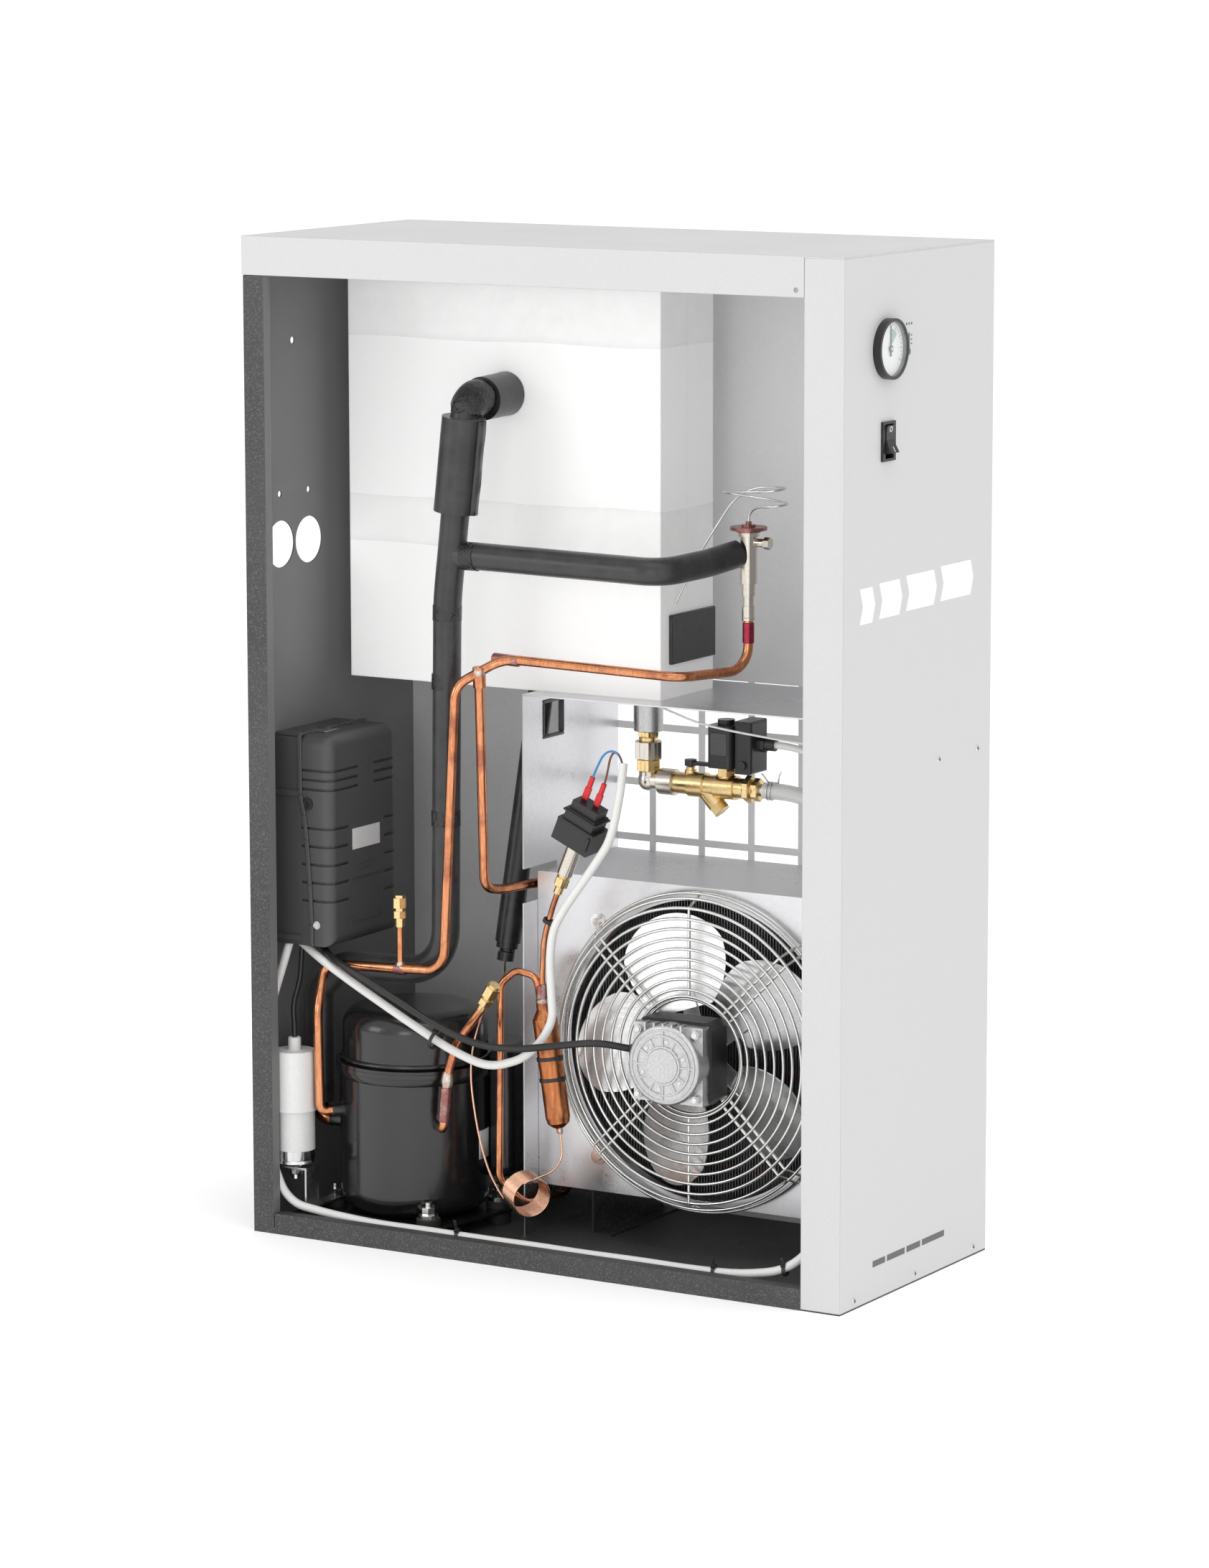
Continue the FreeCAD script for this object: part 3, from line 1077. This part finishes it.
def drain_line():
    """Drain fittings under the exchanger, the valve with its coil, lever and timer, and the outlet."""
    x, y, z = val("drain_cx"), val("drain_cy"), val("drain_cz")
    shelf = val("shelf_low")
    core_low = shelf + val("skin") + val("foam_wall") + 8
    fall = stack_along((x, y, z + 9), (0, 0, 1), (("hex", 12.6, 12), ("hex", 14.6, 18), ("round", 9.5, 10),
                                                  ("round", 14.6, 34), ("round", 9.5, core_low - z - 83)))
    elbow = Part.makeSphere(10.6, Vector(x, y, z)).multiFuse([bar((x, y, z), (x, y, z + 9.5), 9.4),
                                                              bar((x, y, z), (x + 14.5, y, z), 8.2)])
    across = stack_along((x + 14, y, z), (1, 0, 0), (("round", 13, 17), ("round", 10, 3)))
    exit_hex = stack_along((x + 111, y, z), (1, 0, 0), (("hex", 13.6, 16), ("round", 6, 20)))
    foam_side = val("works_far") - val("skin")
    pin = stack_along((val("outlet_cx"), foam_side - 16, val("outlet_cz")), (0, 1, 0),
                      (("round", 6, 8), ("hex", 9, 6.5), ("round", 6.5, 3), ("round", val("outlet_rad"), 10)))
    made("drain_fittings", Part.makeCompound([fall.multiFuse([elbow, across]), exit_hex, pin]))
    body = stack_along((x + 34, y, z), (1, 0, 0), (("round", 10.6, 14), ("round", 12.4, 18), ("round", 10.6, 12),
                                                   ("round", 12, 22), ("round", 10, 11)))
    strainer = stack_along((x + 60, y, z), (0.7, 0, -0.72), (("round", 9, 26), ("hex", 9.4, 8)))
    tower = stack_along((val("coil_cx"), y, z), (0, 0, 1), (("round", 7.5, 11), ("hex", 9.4, 8), ("round", 5.9, 44)))
    plunger_bore = Part.makeCylinder(val("plunger_rad") + 0.05, 50, Vector(val("coil_cx"), y, z + 12))
    lever_seat = stack_along((val("lever_cx"), y, z), (0, 0, 1), (("round", 6, 14), ("round", 4.6, 3)))
    lever_bore = Part.makeCylinder(2.55, 12, Vector(val("lever_cx"), y, z + 6))
    valve = body.multiFuse([strainer, tower, lever_seat]).cut(plunger_bore).cut(lever_bore)
    made("drain_valve_body", valve)
    stem = Part.makeCylinder(2.5, 17, Vector(val("lever_cx"), y, z + 7))
    grip = Part.makeBox(22, 7, 3.5, Vector(val("lever_cx"), y - 3.5, z + 19))
    head = Part.makeCylinder(6, 6, Vector(val("lever_cx"), y, z + 18.2))
    made("drain_lever", stem.multiFuse([grip, head]))
    plunger = Part.makeCylinder(val("plunger_rad"), 38, Vector(val("coil_cx"), y, z + 16))
    made("solenoid_plunger", plunger)


def solenoid_coil():
    """Moulded coil around the valve's guide tube, with its nut."""
    body = doc.addObject("PartDesign::Body", "coil_body")
    base = sketch(body, "coil_plan", "XY_Plane", "drain_cz + 20")
    near, far = "drain_cy - 15", "drain_cy + 15"
    outline(base, [("coil_cx - 14", near), ("coil_cx + 13", near), ("coil_cx + 13", far), ("coil_cx - 14", far)])
    pad = feature(body, "PartDesign::Pad", "coil_block", base, "42")
    doc.recompute()
    edges = [f"Edge{i}" for i, e in enumerate(pad.Shape.Edges, start=1) if e.BoundBox.ZLength > 40]
    rounds = body.newObject("PartDesign::Fillet", "coil_corners")
    rounds.Base = (pad, edges)
    rounds.Radius = 5
    cap_plan = sketch(body, "coil_cap_plan", "XY_Plane", "drain_cz + 62")
    circle(cap_plan, "8.5", ("coil_cx", "drain_cy"))
    feature(body, "PartDesign::Pad", "coil_cap", cap_plan, "5")
    hole = sketch(body, "coil_hole", "XY_Plane", "drain_cz + 64")
    circle(hole, "5.95", ("coil_cx", "drain_cy"))
    feature(body, "PartDesign::Pocket", "coil_bore", hole, "46")
    node("solenoid_coil", body)


def drain_timer():
    """Timer plugged on the coil's side, with its cable gland and a setting knob."""
    case = block("timer_case", ("coil_cx + 14", "coil_cx + 32"), ("drain_cy - 8", "drain_cy + 26"),
                 ("drain_cz + 15", "drain_cz + 67"))
    doc.recompute()
    rounded = soften("timer_rounded", case, 3, lambda edge: edge.BoundBox.XMin > val("coil_cx") + 31)
    gland = rod("timer_gland", 6.2, "x", ("coil_cx + 30", "coil_cx + 50"), ("drain_cy + 9", "drain_cz + 44"))
    nut = hexagon("timer_nut", 8, "x", ("coil_cx + 31", "coil_cx + 40"), ("drain_cy + 9", "drain_cz + 44"))
    knob = rod("timer_knob", 4, "y", ("drain_cy - 11", "drain_cy - 7"), ("coil_cx + 23", "drain_cz + 24"))
    node("drain_timer", join("timer", rounded, gland, nut, knob))


def drain_hose():
    """Soft hose from the valve's barb to the outlet on the far wall."""
    x, y, z = val("drain_cx"), val("drain_cy"), val("drain_cz")
    out_x, out_z = val("outlet_cx"), val("outlet_cz")
    out_y = val("works_far") - val("skin") - 16
    route = [(x + 131, y, z), (x + 160, y, z), (x + 188, y + 2, z - 7), (x + 221, y + 10, z - 15),
             (x + 256, y + 30, z - 24), (out_x - 8, y + 62, out_z), (out_x, out_y - 14, out_z), (out_x, out_y + 6, out_z)]
    pipe = tube(route, fair_radii(route), 8, 6.1, note="drain hose")
    made("drain_hose", pipe)


# ---------------------------------------------------------------- gauge and switch

def gauge():
    """Dew point gauge in the front panel: case, dial with pin, pointer and glass."""
    centre = ("gauge_cy", "cab_tall - gauge_drop")

    def disc_body(name, steps, label):
        """A body of discs on the gauge's axis; each step is (kind, radius, start, length)."""
        body = doc.addObject("PartDesign::Body", name)
        for i, (kind, radius, start, length) in enumerate(steps):
            plan = sketch(body, f"{name}_plan_{i}", "YZ_Plane", f"{HALF_X} + {start}")
            circle(plan, radius, centre)
            feature(body, f"PartDesign::{kind}", f"{name}_step_{i}", plan, length)
        return node(label, body, works=False)

    disc_body("case", (("Pad", "gauge_body", "-23", "23"), ("Pad", "gauge_rad", "0", "8"),
                       ("Pocket", "gauge_bore", "8", "6")), "gauge_case")
    disc_body("dial", (("Pad", "gauge_bore", "2", "1"), ("Pad", "pin_rad", "3", "2.6")), "gauge_dial")
    disc_body("glass", (("Pad", "gauge_bore", "6.2", "1"),), "gauge_glass")
    body = doc.addObject("PartDesign::Body", "needle")
    hub = sketch(body, "needle_hub", "YZ_Plane", "3.5")
    circle(hub, "3.4", ("0", "0"))
    feature(body, "PartDesign::Pad", "needle_disc", hub, "1.2")
    plan = sketch(body, "needle_plan", "YZ_Plane", "3.6")
    outline(plan, [("-0.9", "-7"), ("0.9", "-7"), ("0.7", "8"), ("0.25", "gauge_bore - 4"),
                   ("-0.25", "gauge_bore - 4"), ("-0.7", "8")])
    feature(body, "PartDesign::Pad", "needle_blade", plan, "0.7")
    bore = sketch(body, "needle_bore", "YZ_Plane", "6")
    circle(bore, "pin_rad + shaft_gap", ("0", "0"))
    feature(body, "PartDesign::Pocket", "needle_hole", bore, "4")
    node("gauge_pointer", body, works=False)
    bind(body, "Placement.Base.x", HALF_X)
    bind(body, "Placement.Base.y", centre[0])
    bind(body, "Placement.Base.z", centre[1])


def switch():
    """Rocker switch: housing with its pivot pin, and the rocker, its top pressed in."""
    centre_z = "(cab_tall - switch_drop)"
    flange = block("switch_flange", (HALF_X, f"{HALF_X} + 2.5"), ("switch_cy - 12.5", "switch_cy + 12.5"),
                   (f"{centre_z} - 18.5", f"{centre_z} + 18.5"))
    box = block("switch_box", (f"{HALF_X} - 28", HALF_X), ("switch_cy - 10.8", "switch_cy + 10.8"),
                (f"{centre_z} - 17", f"{centre_z} + 17"))
    mouth = block("switch_mouth", (f"{HALF_X} - 20", f"{HALF_X} + 3"), ("switch_cy - 8", "switch_cy + 8"),
                  (f"{centre_z} - 16", f"{centre_z} + 16"))
    pin = rod("switch_pin", "pin_rad", "y", ("switch_cy - 9", "switch_cy + 9"), (f"{HALF_X} - 6", centre_z))
    tabs = [block(f"switch_tab_{i}", (f"{HALF_X} - 36", f"{HALF_X} - 27"), (f"switch_cy + {y}", f"switch_cy + {y} + 0.8"),
                  (f"{centre_z} + {z}", f"{centre_z} + {z} + 6.3")) for i, (y, z) in enumerate(((-5, -10), (4, -10),
                                                                                               (-5, 3), (4, 3)))]
    node("switch_housing", join("switch", carve("switch_shell", join("switch_solid", flange, box), mouth), pin, *tabs),
         works=False)
    body = doc.addObject("PartDesign::Body", "rocker")
    plan = sketch(body, "rocker_side", "XZ_Plane", "0")
    outline(plan, [("13", "-13"), ("10.6", "-6"), ("9.6", "0"), ("10.6", "6"), ("13", "13"), ("4", "13"), ("-3", "4"),
                   ("-3", "-4"), ("4", "-13")])
    pad = feature(body, "PartDesign::Pad", "rocker_block", plan, "15.2")
    pad.Midplane = True
    bore = sketch(body, "rocker_bore", "XZ_Plane", "-8")
    circle(bore, "pin_rad + shaft_gap", ("0", "0"))
    hole = feature(body, "PartDesign::Pocket", "rocker_hole", bore, "17", reverse=True)
    hole.Midplane = False
    node("switch_rocker", body, works=False)
    body.Placement = Placement(Vector(), Rotation(Vector(0, 1, 0), val("rocker_tilt")))
    bind(body, "Placement.Base.x", f"{HALF_X} - 6")
    bind(body, "Placement.Base.y", "switch_cy")
    bind(body, "Placement.Base.z", centre_z)


# ---------------------------------------------------------------- electric box and cables

def electric_box():
    """Ribbed connection box on the rear panel: back half and screwed cover."""
    back_near, back_far = "box_near", "box_far"
    outer = block("box_outer", (REAR_IN, "box_seam"), (back_near, back_far), ("box_low", "box_high"))
    doc.recompute()
    seam = val("box_seam")
    rounded = soften("box_rounded", outer, 9,
                     lambda edge: edge.BoundBox.XLength > 10 and edge.BoundBox.ZMin > val("box_high") - 1)
    hollow = block("box_hollow", (f"{REAR_IN} + 2.5", "box_seam + 1"), (f"{back_near} + 2.5", f"{back_far} - 2.5"),
                   ("box_low + 2.5", "box_high - 2.5"))
    rails = [block(f"box_rail_{i}", (REAR_IN, "box_seam"), (f"{back_near} - 1.6", f"{back_near} + 1"), (z, f"{z} + 6"))
             for i, z in enumerate(("box_low + 4", "box_high - 62"))]
    node("electric_box", carve("box_back", join("box_shell", rounded, *rails), hollow))
    body = doc.addObject("PartDesign::Body", "cover_body")
    side = sketch(body, "cover_side", "XZ_Plane", "-box_far")
    outline(side, [("box_seam", "box_low"), ("box_face", "box_low"), ("box_face", "box_high"), ("box_seam", "box_high")])
    pad = feature(body, "PartDesign::Pad", "cover_block", side, "box_far - box_near")
    doc.recompute()
    picked = [f"Edge{i}" for i, e in enumerate(pad.Shape.Edges, start=1)
              if e.BoundBox.XMin > seam + 1 or (e.BoundBox.XLength > 1 and e.BoundBox.ZMin > val("box_high") - 1)]
    rounds = body.newObject("PartDesign::Fillet", "cover_rounds")
    rounds.Base = (pad, picked)
    rounds.Radius = 12
    inner = sketch(body, "cover_inner", "YZ_Plane", "box_seam")
    low, high = "box_low + 12", "box_high - 14"
    outline(inner, [("box_near + 5", low), ("box_far - 5", low), ("box_far - 5", high), ("box_near + 5", high)])
    feature(body, "PartDesign::Pocket", "cover_hollow", inner, "box_face - box_seam - 7", reverse=True)
    inset, chamfer, clear = 2.4, 8, 1
    for name, foot, wrap, reach, count in (("low", 47, 30, 73, 5), ("high", 159, 48, 19, 3)):
        row = sketch(body, f"groove_{name}", "XY_Plane", f"box_low + {foot}")
        near_row = f"box_near + {wrap}"
        far_row = f"box_far - {wrap - 4}"
        outline(row, [("box_seam + 1.5", f"box_near - {clear}"), (f"box_face + {clear}", f"box_near - {clear}"),
                      (f"box_face + {clear}", near_row), (f"box_face - {inset}", near_row),
                      (f"box_face - {inset}", f"box_near + {chamfer}"), (f"box_face - {chamfer}", f"box_near + {inset}"),
                      ("box_seam + 1.5", f"box_near + {inset}")])
        outline(row, [(f"box_face - {inset}", far_row), (f"box_face + {clear}", far_row),
                      (f"box_face + {clear}", f"box_far + {clear}"), (f"box_face - {inset}", f"box_far + {clear}")])
        cut = feature(body, "PartDesign::Pocket", f"groove_cut_{name}", row, "2.4")
        doc.recompute()
        rows = body.newObject("PartDesign::LinearPattern", f"groove_rows_{name}")
        rows.Originals = [cut]
        rows.Direction = (row, ["N_Axis"])
        rows.Length = reach
        rows.Occurrences = count
        body.Tip = rows
        doc.recompute()
    node("electric_box_cover", body)


def cables():
    """Cables between the box, the switch and the fan, along their clipped routes."""
    white, black = val("white_rad"), val("black_rad")
    shift = works_offset()
    switch_back = val("cab_len") / 2 - 36 - shift.x
    switch_y = val("switch_cy") - shift.y
    switch_z = val("cab_tall") - val("switch_drop")
    box_low = val("box_low")
    head_route = [(58, -84, 496), (57, -88, 470), (53, -92, 440), (46, -92, 418), (24, -93, 386), (1, -95, 355),
                  (-14, -97, 330), (-17, -99, 300), (-13.5, -101, 261), (-12.5, -100.5, 241), (-23, -101, 220),
                  (-45, -102, 198), (-84, -104, 185), (-128, -106, 199), (-184, -110, 228), (-240, -110, 256),
                  (-278, -106, 274), (-309, -96, box_low)]
    made("switch_cable", tube(head_route, fair_radii(head_route), white, note="pressure switch cable"))
    fan_route = [(62, -74, 214), (36, -97, 222), (-4, -112, 217), (-44, -118, 210), (-86, -119, 210),
                 (-130, -119, 222), (-182, -119, 246), (-232, -118, 268), (-268, -108, 279), (-296, -82, box_low)]
    made("fan_cable", tube(fan_route, fair_radii(fan_route), black, note="fan cable"))
    rise = (switch_z - 120) / 11
    floor_route = [(-318, -104, box_low), (-320, -116, 262), (-321, -138, 222), (-321, -142, 170), (-321, -142, 118),
                   (-319, -138, 70), (-305, -130.5, 29), (-256, -131, 23), (-200, -130, 19), (-140, -131, 20),
                   (-80, -130, 19), (-20, -131, 20), (40, -130, 19), (100, -131, 20), (160, -130, 19), (216, -130, 21),
                   (266, -127, 31), (299, -119, 68)]
    floor_route += [(310 + (i % 2), -110 + i, 120 + i * rise) for i in range(10)]
    floor_route += [(301, -92, switch_z - 62), (288, -74, switch_z - 27), (switch_back - 12, switch_y - 2, switch_z - 6),
                    (switch_back, switch_y, switch_z)]
    made("floor_cables", tube(floor_route, fair_radii(floor_route), white, note="floor cable"))


# ---------------------------------------------------------------- the whole dryer

for build in (base_pan, rear_panel, top_cover, front_panel, side_panel, cabinet_screws, divider_plate,
              exchanger_shelf, insulation, air_pipes, compressor, compressor_mounts, terminal_cover, capacitor,
              suction_line, hot_gas_pipe, hot_gas_valve, sensing_tubes, filter_drier, liquid_pipe, capillary_tube,
              service_valves, pressure_switch, condenser, fan_shroud, fan_guard, fan_motor, drain_line,
              solenoid_coil, drain_timer, drain_hose, gauge, switch, electric_box, cables):
    build()
doc.recompute()

for item in doc.Objects:
    if "Invalid" in item.State or "Error" in item.State:
        raise RuntimeError(f"{item.Name} could not be computed")
broken = [item.Label for item in NODES if item.Shape.isNull() or not item.Shape.isValid()]
if broken:
    raise RuntimeError("no valid shape: " + ", ".join(broken))

os.makedirs("parts", exist_ok=True)
for item in NODES:
    item.Shape.exportStep(f"parts/{item.Label}.step")
print(f"{len(NODES)} sub-parts written")
